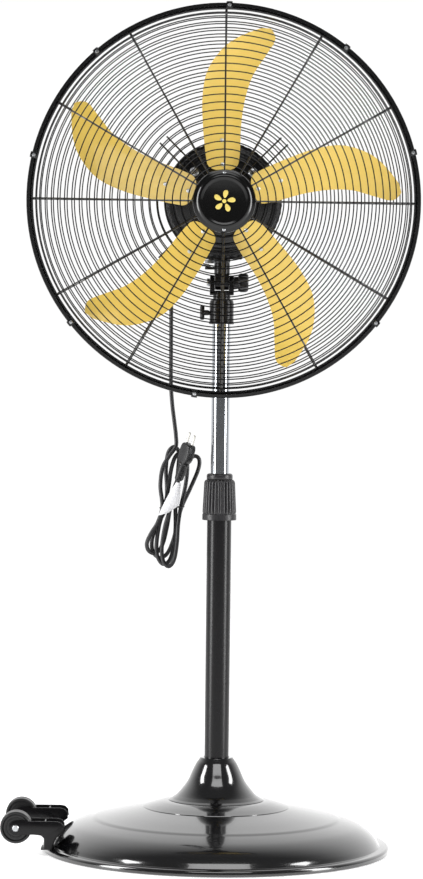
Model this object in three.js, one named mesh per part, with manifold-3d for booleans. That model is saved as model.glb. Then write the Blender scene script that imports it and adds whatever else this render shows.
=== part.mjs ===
// Pedestal fan: 26-inch guarded head on a telescopic pole with a weighted round base and two tilt-and-roll
// wheels. Millimetres, +Z up, the fan blows towards -Y. The origin is on the floor, on the pole's axis.
import * as THREE from 'three';
import { mergeVertices } from 'three/addons/utils/BufferGeometryUtils.js';
import Module from 'manifold-3d';

const wasm = await Module();
wasm.setup();

// ---------------------------------------------------------------- driving dimensions
const GAP = 0.3; // clearance between touching pieces

const BASE_RADIUS = 320;
const BASE_SHEET = 2;
const BOTTOM_PLATE = 3;
const BALLAST_RADIUS = 190;
const BALLAST_TOP = 21;
const STUD_RADIUS = 8;
// outer skin of the base cover, from the middle to the foot of the dome, as [radius, height]
const BASE_PROFILE = [[9, 92], [90, 92], [135, 79], [227, 59], [264, 47], [289, 32], [302, 16]];
const RIM_TOP = 11;
// outer skin of the bell that hides the pole's socket, as [radius, height]
const FLARE_PROFILE = [[87, 92.4], [67.5, 108], [52.7, 126.6], [44.4, 145], [35, 163.6], [31, 168],
  [23.1, 169.5]];

const WHEEL_RADIUS = 29;
const WHEEL_WIDTH = 34;
const WHEEL_X = -364;
const WHEEL_Y = 86; // each side of the middle
const WHEEL_Z = 50;
const AXLE_RADIUS = 4;
const FORK_PLATE = 2.6;

const OUTER_POLE_RADIUS = 22.5;
const OUTER_POLE_FOOT = 98;
const OUTER_POLE_TOP = 655;
const INNER_POLE_RADIUS = 17;
const INNER_POLE_FOOT = 330;
const INNER_POLE_TOP = 1008;
const COLLAR_FOOT = 608;
const COLLAR_TOP = 683;
const COLLAR_CAP_TOP = 694;

const CLAMP_FOOT = 970;
const CLAMP_TOP = 1015;
const CLAMP_RADIUS = 23;
const TILT_Z = 1047;
const EAR_INNER = 13.3;
const EAR_OUTER = 22.2;
const EAR_RADIUS = 13.5;
const BOLT_RADIUS = 4;
const NECK_RADIUS = 14.5;
const NECK_FOOT = 1061;
const NECK_TOP = 1074;
// at rest the head leans forward about the tilt axis, raised on a longer neck; the heights of its
// pieces are given as if it stood level and unraised
const HEAD_LEAN = 3.4;
const HEAD_RAISE = 9.4;
const SWIVEL_PIN_RADIUS = 7;
const LUG_REACH = 26; // neck pin, left of the swivel axis

const HUB_Z = 1188;
const MOTOR_FRONT = -70;
const MOTOR_SPLIT = -24;
const MOTOR_BACK = 26;
const MOTOR_RADIUS = 108;
const MOTOR_WALL = 3;
const SHAFT_RADIUS = 7;
const SHAFT_FRONT = -182;
const SHAFT_BACK = 62;
const BEARING_RADIUS = 15;
const STATOR_FRONT = -42;
const STATOR_BACK = -6;
const STATOR_BORE = 48;
const STATOR_RADIUS = 80;

const GEARBOX_HALF = 38;
const GEARBOX_FOOT = 1080;
const GEARBOX_ARCH = 1184; // centre of the round top
const GEARBOX_BACK = 95;
const GEARBOX_WALL = 3;
const CRANK_X = -21;
const CRANK_Y = 62;
const CRANK_THROW = 18.9;
const SWITCH_Z = 1150;

const RIM_Y = -155; // the plane where the two guard halves meet
const GUARD_RADIUS = 354;
const GUARD_DEPTH = 82.4;
const SPOKES = 12;
const SPOKE_WIRE = 3.8;
const RING_WIRE = 2.6;
const GUARD_RINGS = [120, 200, 280];
// one guard half from the middle to the rim, as [radius, distance in front of the rim plane]
const GUARD_PROFILE = [[50, GUARD_DEPTH], [175, 78], [285, 55], [325, 28], [337, 4], [346, 4]];
const SCREW_CIRCLE = 75;
// places of the rim clips, clockwise from the top, in degrees
const CLIP_ANGLES = [1, 38, 75, 128, 188, 231, 283, 319];

const BLADES = 5;
const BLADE_Y = -150;
const BLADE_SHEET = 1.5;
const BLADE_FLAT_RADIUS = 130; // the blade is flat inside this radius and twists outside it
const ARM_TIP = 122;
const ARM_HALF_WIDTH = 11;
// trailing and leading edge of the upright blade from root to tip, as [across, up] from the hub
const TRAILING_EDGE = [[-25, 54], [-33, 90], [-39, 135], [-40.5, 184], [-33, 230], [-10, 267], [17, 290],
  [60, 310]];
const LEADING_EDGE = [[20, 54], [27, 90], [30, 138], [36.5, 184], [50, 226], [73, 262], [89, 289], [84,
  310]];

const CORD_DIAMETER = 7.7;
const CORD_Y = 57;
const GLAND_Y = 62;
const GLAND_Z = 1120;
const GLAND_TIP = -58.3;

// ---------------------------------------------------------------- materials
const finish = (color, roughness, metalness) => new THREE.MeshStandardMaterial({ color, roughness,
  metalness });
const GLOSS_BLACK = finish('#161518', 0.18, 0.1);
const SATIN_BLACK = finish('#1b1a1c', 0.4, 0.2);
const BLACK_PLASTIC = finish('#2b2a2d', 0.5, 0);
const BLACK_WIRE = finish('#1d1c1f', 0.35, 0.3);
const CHROME = finish('#d8dadd', 0.08, 1);
const ZINC = finish('#b9bcc0', 0.3, 1);
const STEEL = finish('#8d9094', 0.35, 1);
const YELLOW = finish('#e8bf3e', 0.4, 0);
const COPPER = finish('#b06a3a', 0.4, 1);
const CAST_IRON = finish('#4a4b4d', 0.7, 0.6);
const BRASS = finish('#b5924c', 0.35, 1);
const RUBBER = finish('#232325', 0.7, 0);
const CORD_BLACK = finish('#303033', 0.55, 0);
const PAPER = finish('#e2e2e0', 0.9, 0);

// ---------------------------------------------------------------- solids
/** A closed mesh: shared vertices merged, empty triangles dropped, faces turned outwards. */
function closed(geometry) {
  const bare = geometry.clone();
  bare.deleteAttribute('normal');
  bare.deleteAttribute('uv');
  bare.clearGroups();
  const merged = mergeVertices(bare, 1e-3);
  const position = merged.getAttribute('position');
  const index = merged.getIndex().array;
  const kept = [];
  let volume = 0;
  const a = new THREE.Vector3();
  const b = new THREE.Vector3();
  const c = new THREE.Vector3();
  for (let i = 0; i < index.length; i += 3) {
    const [p, q, r] = [index[i], index[i + 1], index[i + 2]];
    if (p === q || q === r || r === p) continue;
    kept.push(p, q, r);
    a.fromBufferAttribute(position, p);
    b.fromBufferAttribute(position, q);
    c.fromBufferAttribute(position, r);
    volume += a.dot(b.cross(c));
  }
  if (volume < 0) {
    for (let i = 0; i < kept.length; i += 3) [kept[i], kept[i + 1]] = [kept[i + 1], kept[i]];
  }
  merged.setIndex(kept);
  return merged;
}

function toManifold(geometry) {
  const mesh = closed(geometry);
  const vertProperties = new Float32Array(mesh.getAttribute('position').array);
  const triVerts = new Uint32Array(mesh.getIndex().array);
  return new wasm.Manifold(new wasm.Mesh({ numProp: 3, vertProperties, triVerts }));
}

function fromManifold(manifold) {
  const mesh = manifold.getMesh();
  const geometry = new THREE.BufferGeometry();
  geometry.setAttribute('position', new THREE.BufferAttribute(new Float32Array(mesh.vertProperties), 3));
  geometry.setIndex([...mesh.triVerts]);
  return geometry;
}

const fuse = (...pieces) => fromManifold(pieces.map(toManifold).reduce((sum, piece) => sum.add(piece)));
const cut = (body, ...tools) => fromManifold(tools.map(toManifold).reduce((rest,
  tool) => rest.subtract(tool), toManifold(body)));

const vectors = (points) => points.map(([x, y]) => new THREE.Vector2(x, y));
const outline = (points) => new THREE.Shape(vectors(points));

/** Solids of revolution from [radius, place along the axis]; a ring's profile closes on itself. */
function turned(profile, segments) {
  const onAxis = profile[0][0] === 0;
  return new THREE.LatheGeometry(vectors(onAxis ? profile : [...profile, profile[0]]), segments);
}
const turnedZ = (profile, segments = 32) => turned(profile, segments).rotateX(Math.PI / 2);
const turnedY = (profile, segments = 32) => turned(profile, segments);
const turnedX = (profile, segments = 12) => turned(profile, segments).rotateZ(-Math.PI / 2);

/** A round tube or ring of one rectangular section. */
const sleeve = (inner, outer, from, to) => [[inner, from], [outer, from], [outer, to], [inner, to]];

const rod = (radius, length, segments) => new THREE.CylinderGeometry(radius, radius, length, segments);
const rodZ = (radius, from, to, x = 0, y = 0, segments = 16) =>
  rod(radius, to - from, segments).rotateX(Math.PI / 2).translate(x, y, (from + to) / 2);
const rodY = (radius, from, to, x = 0, z = 0, segments = 16) =>
  rod(radius, to - from, segments).translate(x, (from + to) / 2, z);
const rodX = (radius, from, to, y = 0, z = 0, segments = 16) =>
  rod(radius, to - from, segments).rotateZ(Math.PI / 2).translate((from + to) / 2, y, z);

const block = (x0, x1, y0, y1, z0, z1) =>
  new THREE.BoxGeometry(x1 - x0, y1 - y0, z1 - z0).translate((x0 + x1) / 2, (y0 + y1) / 2, (z0 + z1) / 2);

const extruded = (shape, depth, curveSegments = 8) =>
  new THREE.ExtrudeGeometry(shape, { depth, bevelEnabled: false, curveSegments });
/** A plate whose outline lies in X and Y. */
const plateZ = (shape, from, to, curveSegments) => extruded(shape, to - from, curveSegments).translate(0,
  0, from);
/** A plate whose outline lies in X and Z. */
const plateY = (shape, from, to, curveSegments) =>
  extruded(shape, to - from, curveSegments).rotateX(Math.PI / 2).translate(0, to, 0);
/** A plate whose outline lies in Y and Z. */
function plateX(shape, from, to, curveSegments) {
  const axes = new THREE.Matrix4().makeBasis(
    new THREE.Vector3(0, 1, 0), new THREE.Vector3(0, 0, 1), new THREE.Vector3(1, 0, 0),
  );
  return extruded(shape, to - from, curveSegments).applyMatrix4(axes).translate(from, 0, 0);
}

/** Moves every point of an open line sideways, to its left, by the same distance. */
function offsetLine(points, distance) {
  const normals = points.slice(1).map(([x, y], i) => {
    const run = new THREE.Vector2(x - points[i][0], y - points[i][1]).normalize();
    return new THREE.Vector2(-run.y, run.x);
  });
  return points.map(([x, y], i) => {
    const before = normals[Math.max(i - 1, 0)];
    const after = normals[Math.min(i, normals.length - 1)];
    const mitre = before.clone().add(after).normalize();
    const reach = distance / mitre.dot(after);
    return [x + mitre.x * reach, y + mitre.y * reach];
  });
}

/** A closed section around an open line, of one thickness. */
const strip = (points, thickness) => [
  ...offsetLine(points, thickness / 2),
  ...offsetLine(points, -thickness / 2).reverse(),
];

const fan = new THREE.Group();
function add(name, geometry, material, parent = fan) {
  const mesh = new THREE.Mesh(closed(geometry), material);
  mesh.name = name;
  parent.add(mesh);
  return mesh;
}

// ---------------------------------------------------------------- base
const rimProfile = [...BASE_PROFILE, [304, RIM_TOP], [316, RIM_TOP], [BASE_RADIUS, 7], [BASE_RADIUS, 0]];
const coverInside = offsetLine(rimProfile, -BASE_SHEET);
coverInside[0][0] = rimProfile[0][0];
coverInside[coverInside.length - 1][1] = 0;
add('base_cover', turnedZ([...rimProfile, ...coverInside.reverse()], 32), GLOSS_BLACK);

add('base_ballast', turnedZ(sleeve(STUD_RADIUS + GAP, BALLAST_RADIUS, BOTTOM_PLATE + GAP, BALLAST_TOP),
  24), CAST_IRON);
add('base_bottom_plate', turnedZ([[0, 0], [BASE_RADIUS - BASE_SHEET - 1, 0],
  [BASE_RADIUS - BASE_SHEET - 1, BOTTOM_PLATE],
  [0, BOTTOM_PLATE]], 32), SATIN_BLACK);
add('base_stud', turnedZ([[0, BOTTOM_PLATE + GAP], [STUD_RADIUS, BOTTOM_PLATE + GAP], [STUD_RADIUS, 98],
  [14, 98], [14, 108], [STUD_RADIUS, 108], [STUD_RADIUS, 116], [0, 116]], 12), ZINC);

const flareInside = offsetLine(FLARE_PROFILE, 1.6);
flareInside[0][1] = FLARE_PROFILE[0][1];
flareInside[flareInside.length - 1][0] = FLARE_PROFILE[FLARE_PROFILE.length - 1][0];
add('base_flare', turnedZ([...FLARE_PROFILE, ...flareInside.reverse()], 20), GLOSS_BLACK);

const socketBore = OUTER_POLE_RADIUS + GAP;
add('pole_socket', turnedZ([[STUD_RADIUS + GAP, 92.4], [44, 92.4], [44, 97.4], [socketBore + 3.5, 97.4],
  [socketBore + 3.5, 136], [socketBore, 136], [socketBore, 97.4], [STUD_RADIUS + GAP, 97.4]], 24), STEEL);

// ---------------------------------------------------------------- tilt-and-roll wheels
/** Side plate of a wheel fork: it stands on the rim and reaches out over the edge to the axle. */
function forkOutline() {
  const shape = new THREE.Shape();
  shape.moveTo(-276, 8);
  shape.quadraticCurveTo(-280, 62, -314, 63);
  shape.lineTo(WHEEL_X, 62.5);
  shape.absarc(WHEEL_X, WHEEL_Z, 12.5, Math.PI / 2, 1.5 * Math.PI, false);
  shape.lineTo(-316, 38.5);
  shape.quadraticCurveTo(-312, 38.5, -312, 34);
  shape.lineTo(-312, 8);
  return shape;
}

/** What the forks must stay clear of: the cover, grown by the clearance. */
const coverRoom = turnedZ([[0, -5], [BASE_RADIUS + 1, -5], [BASE_RADIUS + 1, 7],
  ...offsetLine(rimProfile, GAP + 0.1).reverse().slice(2), [0, 93]], 32);

function addWheel(side, y) {
  const reach = WHEEL_WIDTH / 2 + 2.5;
  const plates = [-reach - FORK_PLATE, reach].map((from) => plateY(forkOutline(), y + from,
    y + from + FORK_PLATE, 5));
  const web = block(-312, -309, y - reach - 1, y + reach + 1, 12, 60);
  const foot = block(-312, -280, y - reach - 1, y + reach + 1, 8, 15);
  const bore = rodY(AXLE_RADIUS + GAP, y - 40, y + 40, WHEEL_X, WHEEL_Z, 12);
  add(`wheel_fork_${side}`, cut(fuse(...plates, web, foot), coverRoom, bore), SATIN_BLACK);

  const half = WHEEL_WIDTH / 2;
  const tread = [[AXLE_RADIUS + GAP, -half], [WHEEL_RADIUS - 2, -half], [WHEEL_RADIUS, -half + 2]];
  const mirrored = tread.map(([radius, place]) => [radius, -place]).reverse();
  add(`wheel_${side}`, turnedY([...tread, ...mirrored], 20).translate(WHEEL_X, y, WHEEL_Z), RUBBER);

  const outer = reach + FORK_PLATE + GAP;
  const axle = [[0, -outer - 3], [5, -outer - 3], [6.5, -outer - 1], [6.5, -outer], [AXLE_RADIUS, -outer],
    [AXLE_RADIUS, outer], [6.5, outer], [6.5, outer + 1], [5, outer + 3], [0, outer + 3]];
  add(`wheel_axle_${side}`, turnedY(axle, 12).translate(WHEEL_X, y, WHEEL_Z), ZINC);
}
addWheel('front', -WHEEL_Y);
addWheel('rear', WHEEL_Y);

// ---------------------------------------------------------------- pole
add('outer_pole', turnedZ(sleeve(OUTER_POLE_RADIUS - 2, OUTER_POLE_RADIUS, OUTER_POLE_FOOT,
  OUTER_POLE_TOP), 24), SATIN_BLACK);
add('inner_pole', turnedZ(sleeve(INNER_POLE_RADIUS - 1.5, INNER_POLE_RADIUS, INNER_POLE_FOOT,
  INNER_POLE_TOP), 24), CHROME);

const slideBore = INNER_POLE_RADIUS + GAP;
const bushFlange = OUTER_POLE_TOP + GAP;
add('pole_bushing', turnedZ([[slideBore, 575], [OUTER_POLE_RADIUS - 2 - GAP, 575],
  [OUTER_POLE_RADIUS - 2 - GAP, bushFlange],
  [OUTER_POLE_RADIUS - 0.4, bushFlange], [OUTER_POLE_RADIUS - 0.4, bushFlange + 8], [20.2, COLLAR_TOP - 4],
  [slideBore, COLLAR_TOP - 4]], 24), BLACK_PLASTIC);
add('height_collar', turnedZ([[OUTER_POLE_RADIUS + GAP, COLLAR_FOOT], [31.5, COLLAR_FOOT], [31.5,
  COLLAR_FOOT + 11],
  [30.4, COLLAR_FOOT + 12], [28.5, COLLAR_TOP - 3], [26, COLLAR_TOP], [21, COLLAR_TOP], [21,
  COLLAR_TOP - 3],
  [OUTER_POLE_RADIUS + GAP, bushFlange + 9]], 24), BLACK_PLASTIC);
add('collar_cap', turnedZ([[slideBore, COLLAR_TOP + GAP], [24, COLLAR_TOP + GAP], [24, COLLAR_CAP_TOP - 1],
  [23, COLLAR_CAP_TOP], [slideBore, COLLAR_CAP_TOP]], 24), BLACK_PLASTIC);

// ---------------------------------------------------------------- clamp and tilt bracket
const clampScrewZ = 991;
const clampSleeve = turnedZ([[0, INNER_POLE_TOP + GAP], [slideBore, INNER_POLE_TOP + GAP], [slideBore,
  CLAMP_FOOT],
  [CLAMP_RADIUS, CLAMP_FOOT], [CLAMP_RADIUS, CLAMP_TOP - 1.5], [CLAMP_RADIUS - 1.5, CLAMP_TOP], [0,
  CLAMP_TOP]], 24);
add('pole_clamp', cut(clampSleeve, rodX(3.3, -30, -10, 0, clampScrewZ, 12)), SATIN_BLACK);
add('clamp_wing_screw', fuse(rodX(3, -34, -INNER_POLE_RADIUS - GAP, 0, clampScrewZ, 12),
  block(-40, -31.5, -4, 4, clampScrewZ - 13.5, clampScrewZ + 13.5)), SATIN_BLACK);

/** Outline in Y and Z of an ear or a tongue: round about the tilt axis, straight to the far edge. */
function earOutline(radius, farZ) {
  const up = Math.sign(farZ - TILT_Z);
  const shape = new THREE.Shape();
  shape.moveTo(-radius, farZ);
  shape.lineTo(-radius, TILT_Z);
  shape.absarc(0, TILT_Z, radius, Math.PI, 0, up < 0);
  shape.lineTo(radius, farZ);
  return shape;
}

const tilting = new THREE.Group();
tilting.position.z = TILT_Z;
tilting.rotation.x = THREE.MathUtils.degToRad(HEAD_LEAN);
fan.add(tilting);

const boltBore = rodX(BOLT_RADIUS + GAP, -60, 60, 0, TILT_Z, 12);
add('tilt_yoke', cut(fuse(rodZ(16, CLAMP_TOP + GAP, 1029, 0, 0, 24), block(-EAR_OUTER, EAR_OUTER,
  -EAR_RADIUS, EAR_RADIUS, 1024, 1032),
  plateX(earOutline(EAR_RADIUS, 1025), EAR_INNER, EAR_OUTER, 6),
  plateX(earOutline(EAR_RADIUS, 1025), -EAR_OUTER, -EAR_INNER, 6)), boltBore), SATIN_BLACK);

const tongueHalf = EAR_INNER - GAP;
const lug = plateZ(outline([[0, -6], [0, 6], [-LUG_REACH, 6], [-LUG_REACH - 4, 4], [-LUG_REACH - 6, 0],
  [-LUG_REACH - 4, -4],
  [-LUG_REACH, -6]]), NECK_FOOT + HEAD_RAISE + 0.5, NECK_FOOT + HEAD_RAISE + 4.5);
add('tilt_knuckle', cut(fuse(plateX(earOutline(13, NECK_FOOT + 1), -tongueHalf, tongueHalf, 6),
  rodZ(NECK_RADIUS, NECK_FOOT, NECK_TOP + HEAD_RAISE, 0, 0, 24),
  rodZ(SWIVEL_PIN_RADIUS, NECK_TOP + HEAD_RAISE - 1, 1093 + HEAD_RAISE, 0, 0, 16), lug,
  rodZ(2, NECK_FOOT + HEAD_RAISE + 4, 1071.5 + HEAD_RAISE, -LUG_REACH, 0, 8)), boltBore).translate(0, 0,
    -TILT_Z),
  SATIN_BLACK, tilting);

const knobFace = EAR_OUTER + GAP;
add('tilt_bolt', turnedX([[0, -knobFace - 6], [6, -knobFace - 6], [7.5, -knobFace - 4.5], [7.5, -knobFace],
  [BOLT_RADIUS, -knobFace], [BOLT_RADIUS, 36], [0, 36]]).translate(0, 0, TILT_Z), ZINC);
/** Lobed outline about the tilt axis. */
function lobedOutline(radius, depth, lobes, steps) {
  const points = Array.from({ length: lobes * steps }, (_, i) => {
    const angle = (i * 2 * Math.PI) / (lobes * steps);
    const reach = radius - depth / 2 + (depth / 2) * Math.cos(lobes * angle);
    return [reach * Math.cos(angle), TILT_Z + reach * Math.sin(angle)];
  });
  return outline(points);
}
add('tilt_knob', cut(fuse(plateX(lobedOutline(17.5, 3.6, 6, 6), 30, 49), rodX(11, knobFace, 31, 0,
  TILT_Z, 16)),
  rodX(BOLT_RADIUS + GAP, 20, 37, 0, TILT_Z, 12)), BLACK_PLASTIC);

// ---------------------------------------------------------------- head: motor
const head = new THREE.Group();
head.position.z = HUB_Z + HEAD_RAISE - TILT_Z;
tilting.add(head);
const local = (z) => z - HUB_Z;

const bearingRoom = BEARING_RADIUS + GAP;
const innerRadius = MOTOR_RADIUS - MOTOR_WALL;
const screwPlaces = [45, 135, 225, 315].map((degrees) => {
  const angle = THREE.MathUtils.degToRad(degrees);
  return [SCREW_CIRCLE * Math.cos(angle), SCREW_CIRCLE * Math.sin(angle)];
});
const screwBores = (from, to) => screwPlaces.map(([x, z]) => rodY(2.6, from, to, x, z, 8));

const frontShell = turnedY([[10, MOTOR_FRONT], [84, MOTOR_FRONT], [88, MOTOR_FRONT + 7], [100,
  MOTOR_FRONT + 9],
  [102, MOTOR_FRONT + 17], [MOTOR_RADIUS, MOTOR_FRONT + 20], [MOTOR_RADIUS, MOTOR_SPLIT], [innerRadius,
  MOTOR_SPLIT],
  [innerRadius, MOTOR_FRONT + 22], [98, MOTOR_FRONT + 12], [86, MOTOR_FRONT + 10], [80, MOTOR_FRONT + 4],
  [20, MOTOR_FRONT + 4],
  [20, -56], [bearingRoom, -56], [bearingRoom, -65], [10, -65]], 20);
add('motor_front_shell', cut(frontShell, ...screwBores(MOTOR_FRONT - 1, MOTOR_FRONT + 8)), SATIN_BLACK,
  head);

const split = MOTOR_SPLIT + GAP;
const rearShell = turnedY([[10, MOTOR_BACK], [72, MOTOR_BACK], [84, MOTOR_BACK - 6], [98,
  MOTOR_BACK - 10], [MOTOR_RADIUS, MOTOR_BACK - 22],
  [MOTOR_RADIUS, split], [innerRadius, split], [innerRadius, MOTOR_BACK - 23], [95, MOTOR_BACK - 13],
  [70, MOTOR_BACK - 4],
  [20, MOTOR_BACK - 4], [20, 12], [bearingRoom, 12], [bearingRoom, 21], [10, 21]], 20);
const boss = rodZ(15, local(NECK_TOP + GAP), local(1092), 0, 0, 16);
const bossCap = rodZ(12, local(1083), local(1096), 0, 0, 16);
add('motor_rear_shell', cut(fuse(rearShell, boss, bossCap),
  rodZ(SWIVEL_PIN_RADIUS + 0.4, local(1060), local(1094), 0, 0, 16)), SATIN_BLACK, head);

add('stator_core', turnedY(sleeve(STATOR_BORE, STATOR_RADIUS, STATOR_FRONT, STATOR_BACK), 24), STEEL, head);
add('front_winding', turnedY(sleeve(54, 76, STATOR_FRONT - 11, STATOR_FRONT - GAP), 16), COPPER, head);
add('rear_winding', turnedY(sleeve(54, 76, STATOR_BACK + GAP, STATOR_BACK + 11), 16), COPPER, head);
add('front_bearing', turnedY(sleeve(SHAFT_RADIUS + GAP, BEARING_RADIUS, -64.7, -56.5), 16), ZINC, head);
add('rear_bearing', turnedY(sleeve(SHAFT_RADIUS + GAP, BEARING_RADIUS, 12.5, 20.7), 16), ZINC, head);

screwPlaces.forEach(([x, z], i) => {
  const screw = [[0, -76], [3.6, -75.7], [5, -74.6], [5, -72.6], [2.2, -72.6], [2.2, -63], [0, -63]];
  add(`motor_screw_${i + 1}`, turnedY(screw, 10).translate(x, 0, z), ZINC, head);
});

// ---------------------------------------------------------------- head: gearbox and drive
/** Outline in X and Z of the gearbox, round on top, shrunk by a wall. */
function gearboxOutline(wall) {
  const half = GEARBOX_HALF - wall;
  const shape = new THREE.Shape();
  shape.moveTo(-half, local(GEARBOX_FOOT) + wall);
  shape.lineTo(half, local(GEARBOX_FOOT) + wall);
  shape.lineTo(half, local(GEARBOX_ARCH));
  shape.absarc(0, local(GEARBOX_ARCH), half, 0, Math.PI, false);
  return shape;
}
const gearboxFront = MOTOR_BACK + GAP;
add('gearbox_housing', cut(plateY(gearboxOutline(0), gearboxFront, GEARBOX_BACK, 10),
  plateY(gearboxOutline(GEARBOX_WALL), gearboxFront + GEARBOX_WALL, GEARBOX_BACK + 1, 10),
  rodY(SHAFT_RADIUS + 1, 20, 40, 0, 0, 12), rodZ(4.6, local(1070), local(1090), CRANK_X, CRANK_Y, 12),
  rodZ(4, local(1205), local(1230), CRANK_X, CRANK_Y, 10)), BLACK_PLASTIC, head);
add('gearbox_cover', cut(plateY(gearboxOutline(0), GEARBOX_BACK + GAP, GEARBOX_BACK + 3.5, 10),
  rodY(3.4, 90, 110, 0, local(SWITCH_Z), 10)), BLACK_PLASTIC, head);
add('speed_knob', fuse(rodY(3, 84, 100, 0, local(SWITCH_Z), 10), rodY(16, 99, 104, 0, local(SWITCH_Z), 20),
  rodY(13, 103, 116, 0, local(SWITCH_Z), 20)), BLACK_PLASTIC, head);
add('capacitor', rodZ(13, local(1086), local(1134), 17, 48, 16), ZINC, head);
add('crank_shaft', fuse(rodZ(12.8, local(1180), local(1190), CRANK_X, CRANK_Y, 20), rodZ(4, local(1074),
  local(1191), CRANK_X, CRANK_Y, 12), rodZ(22, local(1072), local(1078), CRANK_X, CRANK_Y, 24),
  rodZ(3, local(1066), local(1073), CRANK_X - CRANK_THROW, CRANK_Y, 10)), STEEL, head);

/** Bowed link: a round eye on the crank pin, a slotted eye on the neck pin. */
function linkGeometry() {
  const pinX = CRANK_X - CRANK_THROW;
  const bar = plateZ(outline(strip([[-30, 0], [-37, 16], [-42, 44], [pinX, CRANK_Y]], 8)), local(1067),
    local(1070));
  const eye = rodZ(7, local(1067), local(1070), pinX, CRANK_Y, 16);
  const slotEnds = [-30.4, -27];
  const far = new THREE.Shape();
  far.absarc(slotEnds[0], 0, 6.2, Math.PI / 2, 1.5 * Math.PI, false);
  far.absarc(slotEnds[1], 0, 6.2, -Math.PI / 2, Math.PI / 2, false);
  const slot = new THREE.Shape();
  slot.absarc(slotEnds[0], 0, 3.5, Math.PI / 2, 1.5 * Math.PI, false);
  slot.absarc(slotEnds[1], 0, 3.5, -Math.PI / 2, Math.PI / 2, false);
  return cut(fuse(bar, eye, plateZ(far, local(1067), local(1070), 6)), plateZ(slot, local(1060),
    local(1080), 6),
    rodZ(3.4, local(1060), local(1080), pinX, CRANK_Y, 10));
}
add('oscillation_link', linkGeometry(), STEEL, head);
add('clutch_knob', turnedZ([[0, local(1200)], [3.5, local(1200)], [3.5, local(1228)], [8, local(1229)],
  [9, local(1233)],
  [9, local(1240)], [6, local(1244)], [0, local(1245)]], 12).translate(CRANK_X, CRANK_Y, 0),
  BLACK_PLASTIC, head);
add('cord_gland', turnedX([[0, -GEARBOX_HALF - GAP], [10, -GEARBOX_HALF - GAP], [10, -42], [7.5, -43],
  [5.5, GLAND_TIP], [0, GLAND_TIP]].reverse(), 12).translate(0, GLAND_Y, local(GLAND_Z)), BLACK_PLASTIC,
  head);

// ---------------------------------------------------------------- fan wheel
const rotor = new THREE.Group();
head.add(rotor);
add('motor_shaft', turnedY([[0, SHAFT_FRONT], [SHAFT_RADIUS - 1, SHAFT_FRONT + 1], [SHAFT_RADIUS,
  SHAFT_FRONT + 3],
  [SHAFT_RADIUS, SHAFT_BACK - 16], [7.6, SHAFT_BACK - 15], [7.6, 74], [0, 74]], 16), STEEL, rotor);
add('rotor_core', turnedY(sleeve(SHAFT_RADIUS + GAP, STATOR_BORE - 0.6, STATOR_FRONT, STATOR_BACK), 24),
  STEEL, rotor);

/** Angle of the blade's middle line, clockwise from straight up, at a radius. */
const midAngle = (radius) => {
  const outward = Math.max(0, (radius - 110) / 200);
  return THREE.MathUtils.degToRad(-2.5 + 14 * outward ** 2.2);
};
/** Depth of the blade's surface at a place: pitched so that the clockwise side lies further back. */
function bladeDepth(across, up) {
  const radius = Math.hypot(across, up);
  const flat = Math.min(radius, BLADE_FLAT_RADIUS) === radius;
  const turn = flat ? midAngle(0) : midAngle(radius);
  const sideways = radius * Math.sin(Math.atan2(across, up) - turn);
  const outward = flat ? 0 : (radius - BLADE_FLAT_RADIUS) / 190;
  const camber = 5 * outward * (1 - (sideways / 42) ** 2);
  return sideways * (0.46 - 0.17 * outward) + camber;
}
const edgeCurve = (points) => new THREE.CatmullRomCurve3(points.map(([x, z]) => new THREE.Vector3(x, 0,
  z)));

/** A sheet laid over the blade's surface: across runs 0 to 1 between two edges, up from root to tip. */
function pressedSheet(leftEdge, rightEdge, thickness, depth, across, along) {
  const sheet = new THREE.BoxGeometry(1, 1, thickness, across, along, 1);
  const position = sheet.getAttribute('position');
  const [left, right] = [edgeCurve(leftEdge), edgeCurve(rightEdge)];
  for (let i = 0; i < position.count; i += 1) {
    const t = position.getY(i) + 0.5;
    const place = left.getPoint(t).lerp(right.getPoint(t), position.getX(i) + 0.5);
    position.setXYZ(i, place.x, BLADE_Y + depth - position.getZ(i) + bladeDepth(place.x, place.z), place.z);
  }
  return sheet;
}

const armDepth = BLADE_SHEET / 2 + GAP + 0.2 + 1.25;
const turnOfBlade = (i) => (i * 2 * Math.PI) / BLADES;
const arms = Array.from({ length: BLADES }, (_, i) => {
  const lean = Math.sin(midAngle(0));
  const edge = (side, radius) => [side * ARM_HALF_WIDTH + lean * radius, radius];
  const left = [edge(-1, 22), edge(-1, 70), edge(-1, ARM_TIP)];
  const right = [edge(1, 22), edge(1, 70), edge(1, ARM_TIP)];
  return pressedSheet(left, right, 2.5, armDepth, 1, 2).rotateY(turnOfBlade(i));
});
const hubRoom = SHAFT_RADIUS + GAP;
const spiderHub = turnedY([[hubRoom, BLADE_Y - 5], [42, BLADE_Y - 5], [42, BLADE_Y + 11], [20,
  BLADE_Y + 11], [20, BLADE_Y + 22],
  [hubRoom, BLADE_Y + 22]], 24);
add('blade_spider', fuse(spiderHub, ...arms), SATIN_BLACK, rotor);
for (let i = 0; i < BLADES; i += 1) {
  const sheet = pressedSheet(TRAILING_EDGE, LEADING_EDGE, BLADE_SHEET, 0, 3, 10);
  add(`blade_${i + 1}`, sheet.rotateY(turnOfBlade(i)), YELLOW, rotor);
}
add('blade_nut', cut(turnedY([[0, BLADE_Y - 20], [14, BLADE_Y - 20], [16, BLADE_Y - 5 - GAP], [0,
  BLADE_Y - 5 - GAP]], 6),
  rodY(hubRoom, BLADE_Y - 30, BLADE_Y, 0, 0, 16)), ZINC, rotor);

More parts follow.
